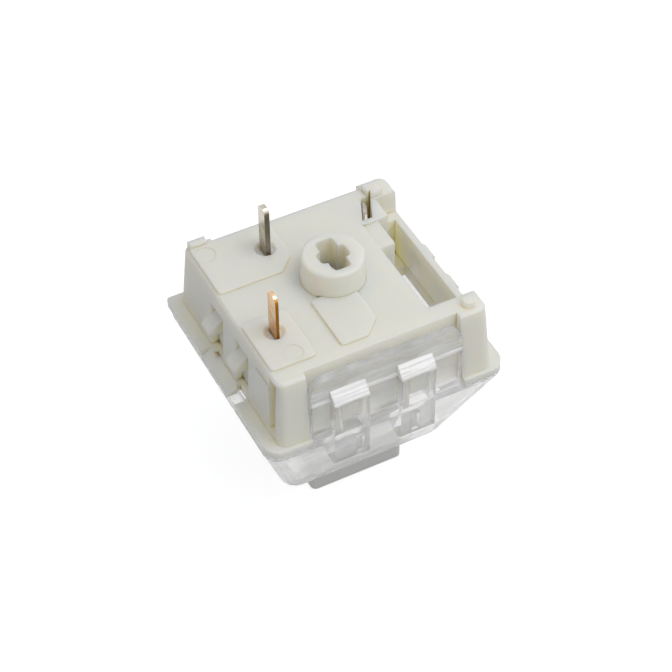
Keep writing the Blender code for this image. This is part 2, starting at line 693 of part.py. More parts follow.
def add_post(shop, body):
    """The centre post with the cross-shaped hole that guides the stem's pole."""
    post = shop.loft(
        "centre post",
        [
            (FLOOR_FACE - PAD_ROOT, circle(POST_BASE_RADIUS)),
            (POST_TOP - POST_EDGE, circle(POST_TOP_RADIUS)),
            (POST_TOP, circle(POST_TOP_RADIUS - POST_EDGE)),
        ],
    )
    through = (FLOOR_INSIDE - CUT, POST_TOP + CUT)
    long_slot, short_slot = cross_outline(POST_SLOT_X, POST_SLOT_Y, POST_LOBE_X, POST_LOBE_Y, SLOT_CORNER)
    shop.join(body, post)
    for name, outline in (("post slot", long_slot), ("post lobes", short_slot)):
        shop.cut(body, shop.prism(name, outline, *through))


def cut_marks(shop, body):
    """The two ejector marks, and a slot with a small sink round each pin."""
    pad_face = FLOOR_FACE + PAD_PROUD
    for number, place in enumerate(EJECTOR_MARKS):
        radii = (EJECTOR_RADIUS, EJECTOR_RADIUS)
        ends = (pad_face - EJECTOR_DEPTH, FLOOR_FACE + CUT)
        shop.cut(body, shop.cylinder(f"ejector mark {number}", place, radii, ends))
    for name, place, section in (("silver", SILVER_PIN, SILVER_SECTION), ("gold", GOLD_PIN, GOLD_SECTION)):
        slot_x, slot_y = (
            (middle - size / 2.0 - FIT, middle + size / 2.0 + FIT) for middle, size in zip(place, section)
        )
        slot = shop.block(name + " pin slot", slot_x, slot_y, (FLOOR_INSIDE - CUT, FLOOR_FACE + CUT))
        radii = (PIN_SINK_RADIUS * (1.0 - PIN_SINK_SLANT), PIN_SINK_RADIUS * (1.0 + PIN_SINK_SLANT))
        sink = shop.cylinder(name + " pin sink", place, radii, (pad_face - PIN_SINK_DEPTH, pad_face + FIT))
        shop.cut(body, slot, sink)


def soften(outline, radius, steps=3):
    """An outline with each corner rounded by an arc."""
    points = []
    count = len(outline)
    for index, corner in enumerate(outline):
        corner = Vector(corner)
        before = (Vector(outline[index - 1]) - corner).normalized()
        after = (Vector(outline[(index + 1) % count]) - corner).normalized()
        half = before.angle(after) / 2.0
        centre = corner + (before + after).normalized() * radius / math.sin(half)
        first = corner + before * radius / math.tan(half) - centre
        turn = first.angle_signed(corner + after * radius / math.tan(half) - centre)
        for step in range(steps + 1):
            arm = first.copy()
            arm.rotate(Matrix.Rotation(-turn * step / steps, 2))
            points.append(tuple(centre + arm))
    return points


def circle(radius, steps=40):
    """Outline of a circle about the origin."""
    return [
        (radius * math.cos(2.0 * math.pi * step / steps), radius * math.sin(2.0 * math.pi * step / steps))
        for step in range(steps)
    ]


def make_bottom_housing(shop):
    """The ivory housing that carries the pins, the mechanism and the plate flange."""
    body = shell_body(shop)
    cut_outside(shop, body)
    add_clips(shop, body)
    add_hooks(shop, body)
    add_pads(shop, body)
    add_standoffs(shop, body)
    add_post(shop, body)
    cut_marks(shop, body)
    cut_inside(shop, body)
    cut_lamp_pocket(shop, body)
    return shop.keep(body, "ivory")


def top_outline(height, inset=0.0, corner=TOP_CORNER):
    """The top housing's outline at a height: a leaning pyramid up to its band, then straight."""
    band_low = FLANGE_UNDER - FIT - BAND_HIGH
    share = min((height - TOP_FACE) / (band_low - TOP_FACE), 1.0)
    half_x = TOP_END_X + (FLANGE_X - TOP_END_X) * share
    low_y = TOP_END_Y[0] + (-FLANGE_Y - TOP_END_Y[0]) * share
    high_y = TOP_END_Y[1] + (FLANGE_Y - TOP_END_Y[1]) * share
    middle = (0.0, (low_y + high_y) / 2.0)
    return rounded(half_x - inset, (high_y - low_y) / 2.0 - inset, corner, middle)


def make_top_housing(shop):
    """The clear housing round the stem, with a rim, a skirt and two loops on each X side."""
    band_top = FLANGE_UNDER - FIT
    band_low = band_top - BAND_HIGH
    body = shop.loft(
        "top_housing",
        [
            (TOP_FACE, top_outline(TOP_FACE, TOP_EDGE)),
            (TOP_FACE + TOP_EDGE, top_outline(TOP_FACE + TOP_EDGE)),
            (band_low, top_outline(band_low)),
            (band_top, top_outline(band_top)),
        ],
    )
    for sign in (1, -1):
        add_skirt(shop, body, sign)
    roof = TOP_FACE + TOP_ROOF
    heights = (roof, band_low, band_top + CUT)
    cavity = shop.loft(
        "top cavity", [(height, top_outline(height, TOP_WALL, TOP_CAVITY_CORNER)) for height in heights]
    )
    opening = shop.prism(
        "stem opening",
        rounded(STEM_X + RUNNING, STEM_Y + RUNNING, STEM_CORNER + RUNNING),
        TOP_FACE - CUT,
        roof + CUT,
    )
    shop.cut(body, cavity, opening)
    return shop.keep(body, "clear")


def skirt_outline(low_y, high_y, low, high):
    """A plate's outline with its two upper corners rounded."""
    points = [(low_y, low), (high_y, low)]
    for corner_y, radius, start in (
        (high_y - SKIRT_CORNERS[1], SKIRT_CORNERS[1], 0.0),
        (low_y + SKIRT_CORNERS[0], SKIRT_CORNERS[0], 90.0),
    ):
        for step in range(7):
            angle = math.radians(start + 90.0 * step / 6)
            points.append((corner_y + radius * math.cos(angle), high - radius + radius * math.sin(angle)))
    return points


def add_skirt(shop, body, sign):
    """A skirt plate that rises between the corner columns, with a rim at its foot and its two loops."""
    root = FLANGE_UNDER - FIT - BAND_HIGH / 2.0
    inner, outer = SKIRT_PLATE_X
    ends_y = (SIDE_LOW_Y + FIT, SIDE_HIGH_Y - FIT)
    top = SKIRT_PLATE_TOP if sign > 0 else SKIRT_PLATE_TOP - SKIRT_BACK_DROP
    plate_x = sorted((sign * inner, sign * outer))
    step_x = sorted((sign * (inner - SKIRT_STEP), sign * (outer + SKIRT_STEP)))
    step_y = (ends_y[0], ends_y[1] - FIT)
    rim_x = sorted((sign * inner, sign * FLANGE_X))
    rim_y = (ends_y[0] + FIT, ends_y[1] - 2.0 * FIT)
    shop.join(
        body,
        shop.prism(f"skirt {sign:+d}", skirt_outline(*ends_y, root, top), *plate_x, axes="yzx"),
        shop.block(f"skirt step {sign:+d}", step_x, step_y, (root + FIT, SKIRT_STEP_TOP)),
        shop.block(f"rim {sign:+d}", rim_x, rim_y, (root - FIT, PLATE_SEAT)),
    )
    for loop_y in LOOP_Y:
        add_loop(shop, body, sign, loop_y)
    for pocket_y in LOOP_POCKETS:
        name = f"loop pocket {sign:+d} {pocket_y[0] / MM:+.1f}"
        pocket_x = side(sign * (LOOP_X - LOOP_POCKET_DEPTH))
        shop.cut(body, shop.block(name, pocket_x, pocket_y, LOOP_POCKET_Z))


def add_loop(shop, body, sign, loop_y):
    """One of the loops that bulge over the bottom housing's hooks, with its window."""
    inner, outer = SKIRT_PLATE_X
    root = FLANGE_UNDER - FIT - BAND_HIGH / 2.0
    half = LOOP_WIDE / 2.0
    name = f"loop {sign:+d} {loop_y / MM:+.1f}"
    profile = [
        (sign * (outer - LOOP_ROOT), LOOP_TOP),
        (sign * LOOP_X, LOOP_TOP - LOOP_RAMP),
        (sign * LOOP_X, LOOP_FOOT + LOOP_FOOT_TAPER),
        (sign * (LOOP_X - LOOP_FOOT_TAPER), LOOP_FOOT),
        (sign * (TOP_END_X + LOOP_ROOT), LOOP_FOOT),
        (sign * (outer - LOOP_ROOT), root),
    ]
    window_y = (loop_y - half + LOOP_LEG, loop_y + half - LOOP_LEG)
    shop.join(body, shop.prism(name, profile, loop_y - half, loop_y + half, axes="xzy"))
    shop.cut(body, shop.block(name + " window", side(sign * (inner - CUT)), window_y, loop_window()))


def make_stem(shop):
    """The stem: a cross in a box, a shoulder, and a skirt with the guide pole, rails, cam and click lobe."""
    shoulder_low = TOP_FACE + TOP_ROOF + FIT
    shoulder_high = shoulder_low + SHOULDER_THICK
    skirt_high = FLOOR_INSIDE - TRAVEL - FIT
    skirt_ends = (shoulder_high - FIT, skirt_high)
    body = shop.loft(
        "stem",
        [
            (0.0, rounded(STEM_X - STEM_EDGE, STEM_Y - STEM_EDGE, STEM_CORNER - STEM_EDGE)),
            (STEM_EDGE, rounded(STEM_X, STEM_Y, STEM_CORNER)),
            (shoulder_high, rounded(STEM_X, STEM_Y, STEM_CORNER)),
        ],
    )
    shoulder_outline = rounded(SHOULDER_X, SHOULDER_Y, STEM_CORNER)
    shoulder = shop.prism("shoulder", shoulder_outline, shoulder_low, shoulder_high)
    skirt = shop.prism("stem skirt", rounded(SKIRT_X, SKIRT_Y, STEM_CORNER), *skirt_ends)
    rails = shop.block("rails", (-RAIL_X, RAIL_X), (-RAIL_WIDE / 2.0, RAIL_WIDE / 2.0), skirt_ends)
    shop.join(body, shoulder, skirt, rails)
    well_outline = rounded(STEM_X - STEM_WALL, STEM_Y - STEM_WALL, STEM_CORNER)
    well = shop.prism("cross well", well_outline, -CUT, CROSS_DEPTH)
    long_arm = (-CROSS_LENGTH / 2.0, CROSS_LENGTH / 2.0)
    arm_z = (0.0, CROSS_DEPTH + FIT)
    arm_x = shop.block("cross arm x", long_arm, (-CROSS_ARM_X / 2.0, CROSS_ARM_X / 2.0), arm_z)
    arm_y = shop.block("cross arm y", (-CROSS_ARM_Y / 2.0, CROSS_ARM_Y / 2.0), long_arm, arm_z)
    spring_room = shop.cylinder(
        "spring room",
        (0.0, 0.0),
        (SPRING_WELL_RADIUS, SPRING_WELL_RADIUS),
        (shoulder_high, skirt_high + CUT),
    )
    shop.cut(body, well, spring_room)
    shop.join(body, arm_x, arm_y)
    pole_ends = (shoulder_high - FIT, POST_TOP - TRAVEL - 2.0 * FIT)
    pole_slot, pole_lobe = cross_outline(
        POST_SLOT_X - RUNNING,
        POST_SLOT_Y - RUNNING,
        POST_LOBE_X - RUNNING,
        POST_LOBE_Y - RUNNING,
        SLOT_CORNER - FIT,
    )
    lobe = [
        (SKIRT_Y - FIT, LOBE_Z[0]),
        (SKIRT_Y + LOBE_PROUD, sum(LOBE_Z) / 2.0),
        (SKIRT_Y + LOBE_PROUD, LOBE_Z[1] - LOBE_FLAT),
        (SKIRT_Y - FIT, LOBE_Z[1] + LOBE_TAIL),
    ]
    shop.join(
        body,
        shop.prism("pole", pole_slot, *pole_ends),
        shop.prism("pole lobes", pole_lobe, *pole_ends),
        shop.prism("click lobe", lobe, *LOBE_X, axes="yzx"),
        cam(shop, skirt_high),
    )
    return shop.keep(body, "pale")


def pusher_nose_y():
    """Where the pusher's nose stands at rest, just clear of the stem's cam."""
    return -(SKIRT_Y + PUSHER_LEAD)


def cam(shop, skirt_high):
    """A slow ramp on the stem's pin side that drives the pusher as the stem goes in."""
    rate = PUSHER_STROKE / TRAVEL
    reach = pusher_nose_y() - FIT
    start = CONTACT_Z - skirt_high + PUSHER_HIGH / 2.0
    low = skirt_high - TRAVEL + start - PUSHER_HIGH
    outline = [
        (-SKIRT_Y + FIT, skirt_high),
        (reach + 2 * FIT, skirt_high),
        (reach + 2 * FIT - rate * (skirt_high - low), low),
        (-SKIRT_Y + FIT, low - LOBE_TAIL),
    ]
    half = PUSHER_WIDE / 2.0 + FIT
    return shop.prism("cam", outline, PUSHER_X - half, PUSHER_X + half, axes="yzx")


def make_spring(shop):
    """The return spring, with a closed turn at each end."""
    low = TOP_FACE + TOP_ROOF + FIT + SHOULDER_THICK + SPRING_WIRE + FIT
    high = FLOOR_INSIDE + SPRING_WELL_DEPTH - SPRING_WIRE - FIT
    closed = 2.2 * SPRING_WIRE
    points = []
    for step in range(SPRING_TURNS * SPRING_POINTS + 1):
        turn = step / SPRING_POINTS
        angle = 2.0 * math.pi * turn
        first = min(turn, 1.0)
        last = min(max(turn - SPRING_TURNS + 1.0, 0.0), 1.0)
        middle = min(max(turn - 1.0, 0.0), SPRING_TURNS - 2.0) / (SPRING_TURNS - 2.0)
        height = low + (first + last) * closed + middle * (high - low - 2.0 * closed)
        points.append((SPRING_RADIUS * math.cos(angle), SPRING_RADIUS * math.sin(angle), height))
    return shop.wire("return_spring", points, SPRING_WIRE, "steel")


def make_click_bar(shop):
    """The click wire: a run along its slanted slot, an arm down, and a finger over the stem's lobe."""
    bend = CLICK_BEND
    tip_x, tip_y, tip_z = CLICK_TIP
    low = (CLICK_X - CLICK_HALF_X, CLICK_Y - CLICK_HALF_X * CLICK_SLOPE)
    high = (CLICK_X + CLICK_HALF_X, CLICK_Y + CLICK_HALF_X * CLICK_SLOPE)
    points = [
        (low[0], low[1], CLICK_Z),
        (high[0] - bend, high[1] - bend * CLICK_SLOPE, CLICK_Z),
        (high[0] - bend * 0.3, high[1] - bend * 0.3 * CLICK_SLOPE, CLICK_Z - bend * 0.3),
        (high[0], high[1], CLICK_Z - bend),
        (high[0], high[1], CLICK_ARM_END),
        (high[0] + bend * 0.5, high[1] - bend * 0.3, tip_z + bend * 0.5),
        (high[0] + bend * 1.3, tip_y + bend * 0.3, tip_z),
        (tip_x, tip_y, tip_z),
    ]
    return shop.wire("click_bar", points, CLICK_WIRE, "steel", (CLICK_X, CLICK_Y, CLICK_Z))


def pin_outline(place, section, low, tip, point):
    """A blade's outline in X and Z with a rounded tip."""
    half = section[0] / 2.0
    outline = [(place - half, low), (place + half, low)]
    for step in range(TIP_STEPS + 1):
        angle = math.pi * step / TIP_STEPS
        outline.append((place + half * math.cos(angle), tip - point * (1.0 - math.sin(angle))))
    return outline


def make_terminals(shop):
    """The two terminals with their pins, and the crosspoint beads and leaf between them."""
    half_gold = GOLD_SECTION[1] / 2.0
    fixed = shop.prism(
        "fixed_terminal",
        pin_outline(GOLD_PIN[0], GOLD_SECTION, CONTACT_Z - LEAF_HEIGHT / 2.0, GOLD_TIP, GOLD_TIP_TAPER),
        GOLD_PIN[1] - half_gold,
        GOLD_PIN[1] + half_gold,
        axes="xzy",
    )
    foot = shop.block(
        "fixed foot",
        (BEAD_X - BEAD_LENGTH, GOLD_PIN[0]),
        (GOLD_PIN[1] - half_gold, GOLD_PIN[1] + half_gold),
        (CONTACT_Z - LEAF_HEIGHT / 2.0, CONTACT_Z + LEAF_HEIGHT / 2.0),
    )
    shop.join(fixed, foot)
    shop.keep(fixed, "copper")
    half_silver = SILVER_SECTION[1] / 2.0
    shelf_z = CONTACT_Z + LEAF_HEIGHT / 2.0 + SILVER_SECTION[1]
    moving = shop.prism(
        "moving_terminal",
        pin_outline(SILVER_PIN[0], SILVER_SECTION, shelf_z - SILVER_SECTION[1], SILVER_TIP, SILVER_TIP_TAPER),
        SILVER_PIN[1] - half_silver,
        SILVER_PIN[1] + half_silver,
        axes="xzy",
    )
    blade_x = (SILVER_PIN[0] - SILVER_SECTION[0] / 2.0, SILVER_PIN[0] + SILVER_SECTION[0] / 2.0)
    back = LEAF_Y - LEAF_THICK / 2.0 - FIT - SILVER_SECTION[1]
    shelf = shop.block("shelf", blade_x, (back, SILVER_PIN[1]), (shelf_z - SILVER_SECTION[1], shelf_z))
    holder = shop.block(
        "leaf holder", blade_x, (back, back + SILVER_SECTION[1]), (CONTACT_Z - LEAF_HEIGHT / 2.0, shelf_z)
    )
    shop.join(moving, shelf, holder)
    shop.keep(moving, "nickel")
    leaf = shop.block(
        "contact_leaf",
        (blade_x[0], LEAF_END_X),
        (LEAF_Y - LEAF_THICK / 2.0, LEAF_Y + LEAF_THICK / 2.0),
        (CONTACT_Z - LEAF_HEIGHT / 2.0 + LEAF_INSET, CONTACT_Z + LEAF_HEIGHT / 2.0 - LEAF_INSET),
    )
    hinge = (blade_x[1], LEAF_Y, CONTACT_Z)
    shop.keep(leaf, "gold", hinge)
    leaf_back = LEAF_Y - LEAF_THICK / 2.0 - BEAD_GAP
    plate_front = GOLD_PIN[1] + half_gold + BEAD_GAP
    moving_bead = shop.prism(
        "moving_contact",
        [
            (leaf_back, CONTACT_Z - BEAD_SIZE),
            (leaf_back - BEAD_SIZE, CONTACT_Z),
            (leaf_back, CONTACT_Z + BEAD_SIZE),
        ],
        BEAD_X - BEAD_LENGTH / 2.0,
        BEAD_X + BEAD_LENGTH / 2.0,
        axes="yzx",
    )
    fixed_bead = shop.prism(
        "fixed_contact",
        [
            (BEAD_X - BEAD_SIZE, plate_front),
            (BEAD_X + BEAD_SIZE, plate_front),
            (BEAD_X, plate_front + BEAD_SIZE),
        ],
        CONTACT_Z - BEAD_LENGTH / 2.0,
        CONTACT_Z + BEAD_LENGTH / 2.0,
    )
    shop.keep(moving_bead, "gold", hinge)
    shop.keep(fixed_bead, "gold")


def make_contact_box(shop):
    """The cover that closes the contacts' box, and the pusher that slides through it."""
    front = (COVER_Y - COVER_WALL, COVER_Y)
    back = CHAMBER_LOW_Y + FIT
    high = FLOOR_INSIDE - FIT
    cover = shop.block("contact_box_cover", COVER_X, front, (COVER_LOW, high))
    low_wall = shop.block("cover low wall", COVER_X, (back, COVER_Y), (COVER_LOW, COVER_LOW + COVER_WALL))
    end_x = (COVER_X[1] - COVER_WALL, COVER_X[1])
    end_wall = shop.block("cover end wall", end_x, (back, COVER_Y), (COVER_LOW, high))
    half_x = PUSHER_WIDE / 2.0 + FIT
    half_z = PUSHER_HIGH / 2.0 + FIT
    hole = shop.block(
        "pusher hole",
        (PUSHER_X - half_x, PUSHER_X + half_x),
        (COVER_Y - COVER_WALL - CUT / 2, COVER_Y + CUT),
        (CONTACT_Z - half_z, CONTACT_Z + half_z),
    )
    shop.join(cover, low_wall, end_wall)
    shop.cut(cover, hole)
    shop.keep(cover, "white")
    nose = pusher_nose_y()
    tail = LEAF_Y + LEAF_THICK / 2.0 + FIT
    pusher_outline = [
        (tail, CONTACT_Z - PUSHER_HIGH / 4.0),
        (tail + PUSHER_TAPER, CONTACT_Z - PUSHER_HIGH / 2.0),
        (nose - PUSHER_TAPER, CONTACT_Z - PUSHER_HIGH / 2.0),
        (nose, CONTACT_Z - PUSHER_HIGH / 4.0),
        (nose, CONTACT_Z + PUSHER_HIGH / 4.0),
        (nose - PUSHER_TAPER, CONTACT_Z + PUSHER_HIGH / 2.0),
        (tail + PUSHER_TAPER, CONTACT_Z + PUSHER_HIGH / 2.0),
        (tail, CONTACT_Z + PUSHER_HIGH / 4.0),
    ]
    pusher = shop.prism(
        "contact_pusher",
        pusher_outline,
        PUSHER_X - PUSHER_WIDE / 2.0,
        PUSHER_X + PUSHER_WIDE / 2.0,
        axes="yzx",
    )
    shop.keep(pusher, "white", (PUSHER_X, nose, CONTACT_Z))


def main():
    """Build the switch."""
    clear_scene()
    shop = Workshop()
    make_bottom_housing(shop)
    make_top_housing(shop)
    make_stem(shop)
    make_spring(shop)
    make_click_bar(shop)
    make_terminals(shop)
    make_contact_box(shop)


main()
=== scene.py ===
"""Dresses the keyboard switch: moulded ivory, clear plastic, plated pins and spring steel."""

import logging
import math
from dataclasses import dataclass
from enum import Enum
from typing import Any, Mapping, Union

import bmesh
import bpy
from mathutils import Matrix, Vector


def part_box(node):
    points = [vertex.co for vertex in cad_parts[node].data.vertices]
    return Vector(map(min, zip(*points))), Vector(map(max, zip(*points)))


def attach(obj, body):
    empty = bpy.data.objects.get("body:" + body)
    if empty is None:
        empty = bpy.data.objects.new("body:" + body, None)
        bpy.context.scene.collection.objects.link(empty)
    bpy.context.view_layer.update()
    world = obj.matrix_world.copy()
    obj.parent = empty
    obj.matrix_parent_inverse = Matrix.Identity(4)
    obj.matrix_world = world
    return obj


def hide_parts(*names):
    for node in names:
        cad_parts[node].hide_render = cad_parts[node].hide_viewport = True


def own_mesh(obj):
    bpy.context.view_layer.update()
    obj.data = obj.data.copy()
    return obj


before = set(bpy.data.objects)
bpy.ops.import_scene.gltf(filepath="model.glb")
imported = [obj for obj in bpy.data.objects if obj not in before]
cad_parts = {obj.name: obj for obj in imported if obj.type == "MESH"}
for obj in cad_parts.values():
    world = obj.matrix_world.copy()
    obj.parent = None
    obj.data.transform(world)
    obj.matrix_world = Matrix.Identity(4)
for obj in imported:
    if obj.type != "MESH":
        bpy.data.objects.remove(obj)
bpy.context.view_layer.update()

LOG = logging.getLogger("switch")
MM = 0.001

Colour = tuple[float, float, float]
Band = tuple[float, float]
Value = Union["Wire", float]
Owner = Union[bpy.types.Material, bpy.types.World]

WHITE_LIGHT: Colour = (1.0, 1.0, 1.0)

# Sockets of a Mix node that mixes colours
MIX_AMOUNT = 0
MIX_FIRST = 6
MIX_SECOND = 7
MIX_RESULT = 2

# Rays traced at each point for soft edges and for openness
EDGE_RAYS = 6
OPENNESS_RAYS = 8


class Slot(Enum):
    """Names of material slots; nothing in this script reads them."""

    SPRING = "return_spring"


@dataclass(frozen=True)
class Grain:
    """A noise, by its grains to the millimetre and how finely and how roughly they break up."""

    scale: float
    detail: float
    roughness: float = 0.55


class Wire:
    """One output of a shader node, on which arithmetic adds Math nodes."""

    def __init__(self, tree: "ShaderTree", socket: bpy.types.NodeSocket) -> None:
        """Keep the node tree and the output."""
        self.tree = tree
        self.socket = socket

    def __add__(self, other: Value) -> "Wire":
        """Sum."""
        return self.tree.maths("ADD", self, other)

    __radd__ = __add__

    def __sub__(self, other: Value) -> "Wire":
        """Difference."""
        return self.tree.maths("SUBTRACT", self, other)

    def __rsub__(self, other: Value) -> "Wire":
        """Difference from a number."""
        return self.tree.maths("SUBTRACT", other, self)

    def __mul__(self, other: Value) -> "Wire":
        """Product."""
        return self.tree.maths("MULTIPLY", self, other)

    __rmul__ = __mul__

    def __abs__(self) -> "Wire":
        """The value without its sign."""
        return self.tree.maths("ABSOLUTE", self)

    def span(self, low: float, high: float) -> "Wire":
        """Map low..high of this value to 0..1, with eased ends that are held.

        Args:
            low: the value that becomes 0.
            high: the value that becomes 1.

        Returns:
            The mapped value.
        """
        inputs = {"Value": self, "From Min": low, "From Max": high}
        return self.tree.node("ShaderNodeMapRange", inputs, "Result", interpolation_type="SMOOTHSTEP")

    def beside(self, name: str) -> "Wire":
        """Another output of the same node."""
        return Wire(self.tree, self.socket.node.outputs[name])


class ShaderTree:
    """The node tree of one material or of the world."""

    def __init__(self, owner: Owner, output: str = "ShaderNodeOutputMaterial") -> None:
        """Empty the owner's node tree and add its output node.

        Args:
            owner: the material or world.
            output: the output node's type.
        """
        self.owner = owner
        self.owner.use_nodes = True
        self.tree = owner.node_tree
        self.tree.nodes.clear()
        self.output = self.tree.nodes.new(output)

    def node(self, kind: str, inputs: Mapping[Any, Any], out: Any = 0, **settings: Any) -> Wire:
        """Add a node.

        Args:
            kind: the node's type.
            inputs: the values or wires of its inputs, by name or number.
            out: the output that is wanted.
            settings: the node's own settings, which are set first.

        Returns:
            The wanted output.
        """
        made = self.tree.nodes.new(kind)
        for key, value in settings.items():
            setattr(made, key, value)
        for key, value in inputs.items():
            self.feed(made.inputs[key], value)
        return Wire(self, made.outputs[out])

    def feed(self, socket: bpy.types.NodeSocket, value: Any) -> None:
        """Link a wire to a socket, or set the socket's value.

        Args:
            socket: the input.
            value: a wire, a number, a vector, or a colour without its alpha.
        """
        if isinstance(value, Wire):
            self.tree.links.new(value.socket, socket)
        elif socket.type == "RGBA":
            socket.default_value = (*value, 1.0)
        else:
            socket.default_value = value

    def maths(self, operation: str, *values: Value) -> Wire:
        """Feed wires or numbers to a Math node of the named operation."""
        return self.node("ShaderNodeMath", dict(enumerate(values)), operation=operation)

    def place(self) -> Wire:
        """Object coordinates in millimetres."""
        metres = self.node("ShaderNodeTexCoord", {}, "Object")
        return self.node("ShaderNodeVectorMath", {0: metres, "Scale": 1.0 / MM}, operation="SCALE")

    def parts(self, vector: Wire) -> tuple[Wire, Wire, Wire]:
        """The three components of a vector."""
        x = self.node("ShaderNodeSeparateXYZ", {0: vector}, "X")
        return x, x.beside("Y"), x.beside("Z")

    def noise(self, grain: Grain) -> Wire:
        """Noise of a grain that is alike in all directions.

        Args:
            grain: the noise's scale and fineness.

        Returns:
            The noise, 0..1.
        """
        inputs = {
            "Vector": self.place(),
            "Scale": grain.scale,
            "Detail": grain.detail,
            "Roughness": grain.roughness,
        }
        return self.node("ShaderNodeTexNoise", inputs, "Fac")

    def stretched(self, scale: tuple[float, float, float], detail: float = 3.0) -> Wire:
        """Noise with its own scale on each axis, in grains to the millimetre."""
        vector = self.node("ShaderNodeMapping", {"Vector": self.place(), "Scale": scale}, "Vector")
        return self.node("ShaderNodeTexNoise", {"Vector": vector, "Scale": 1.0, "Detail": detail}, "Fac")

    def mix(self, amount: Value, first: Any, second: Any) -> Wire:
        """Mix two colours."""
        inputs = {MIX_AMOUNT: amount, MIX_FIRST: first, MIX_SECOND: second}
        return self.node("ShaderNodeMix", inputs, MIX_RESULT, data_type="RGBA")

    def bump(self, height: Wire, depth: float, strength: float, normal: Wire) -> Wire:
        """Bend a normal by a height of 0..1 that stands for a depth in millimetres."""
        inputs = {"Height": height, "Distance": depth * MM, "Strength": strength, "Normal": normal}
        return self.node("ShaderNodeBump", inputs, "Normal")

    def rounded(self, radius: float) -> Wire:
        """Normals with the edges softened over a radius in millimetres."""
        return self.node("ShaderNodeBevel", {"Radius": radius * MM}, "Normal", samples=EDGE_RAYS)

    def openness(self, reach: float) -> Wire:
        """How open the surface is within some millimetres, 1 where nothing of the piece stands near."""
        inputs = {"Distance": reach * MM}
        return self.node("ShaderNodeAmbientOcclusion", inputs, "AO", samples=OPENNESS_RAYS, only_local=True)

    def backdrop_rays(self) -> Wire:
        """Pick the rays that show the backdrop.

        Returns:
            1 for a ray of the camera, a reflection or what is seen through the clear plastic, else 0.
        """
        camera = self.node("ShaderNodeLightPath", {}, "Is Camera Ray")
        reflected = self.maths("MAXIMUM", camera, camera.beside("Is Glossy Ray"))
        return self.maths("MAXIMUM", reflected, camera.beside("Is Transmission Ray"))

    def principled(self, inputs: Mapping[str, Any]) -> Wire:
        """A Principled shader with the given inputs."""
        return self.node("ShaderNodeBsdfPrincipled", inputs, "BSDF")

    def blend(self, amount: Value, first: Wire, second: Wire) -> Wire:
        """Mix two shaders."""
        return self.node("ShaderNodeMixShader", {0: amount, 1: first, 2: second})

    def close(self, surface: Wire) -> Owner:
        """Link a shader to the output and return the material or world."""
        self.feed(self.output.inputs["Surface"], surface)
        return self.owner


@dataclass(frozen=True)
class MouldedPlastic:
    """Opaque moulded plastic, a little translucent, with painted shading in its recesses and painted shade in its
    crevices.

    Lengths are in millimetres. The recess colour, which also tints the mottle, is a painted warm glow on the
    ivory and a painted shade on the other plastics.
    """

    name: str
    colour: Colour
    # Painted shading: the recess colour glows or shades the recesses, and the crevice colour is painted shade in
    # narrow crevices.
    recess_shading_and_mottle: Colour
    crevice_shade: Colour
    roughness: float = 0.42
    translucency: float = 0.8
    reach: Colour = (1.0, 0.8, 0.5)
    scatter: float = 1.8
    ior: float = 1.5
    mottle: Grain = Grain(0.55, 2.0)
    mottle_band: Band = (0.3, 0.7)
    mottle_share: float = 0.06
    recess_shading_reach: float = 1.6
    recess_shading_band: Band = (0.1, 0.75)
    crevice_shade_reach: float = 0.35
    crevice_shade_band: Band = (0.25, 0.66)
    grain: Grain = Grain(14.0, 4.0, 0.65)
    grain_dulling: float = 0.1
    grain_depth: float = 0.004
    grain_strength: float = 0.6
    edge_radius: float = 0.12

    def material(self) -> bpy.types.Material:
        """Build the material.

        Returns:
            The material.
        """
        tree = ShaderTree(bpy.data.materials.new(self.name))
        mottle = tree.noise(self.mottle).span(*self.mottle_band)
        grain = tree.noise(self.grain)
        # Painted shading: how open the surface is picks the painted recess glow or shade and the painted crevice
        # shade.
        painted_recess_shading = tree.openness(self.recess_shading_reach).span(*self.recess_shading_band)
        painted_crevice_shade = tree.openness(self.crevice_shade_reach).span(*self.crevice_shade_band)
        pale = tree.mix(mottle * self.mottle_share, self.colour, self.recess_shading_and_mottle)
        shader = tree.principled(
            {
                "Base Color": tree.mix(painted_crevice_shade, self.crevice_shade, tree.mix(painted_recess_shading, self.recess_shading_and_mottle, pale)),
                "Roughness": grain * self.grain_dulling + (self.roughness - self.grain_dulling / 2.0),
                "Subsurface Weight": self.translucency,
                "Subsurface Radius": self.reach,
                "Subsurface Scale": self.scatter * MM,
                "Normal": tree.bump(grain, self.grain_depth, self.grain_strength, tree.rounded(self.edge_radius)),
                "IOR": self.ior,
            }
        )
        return tree.close(shader)


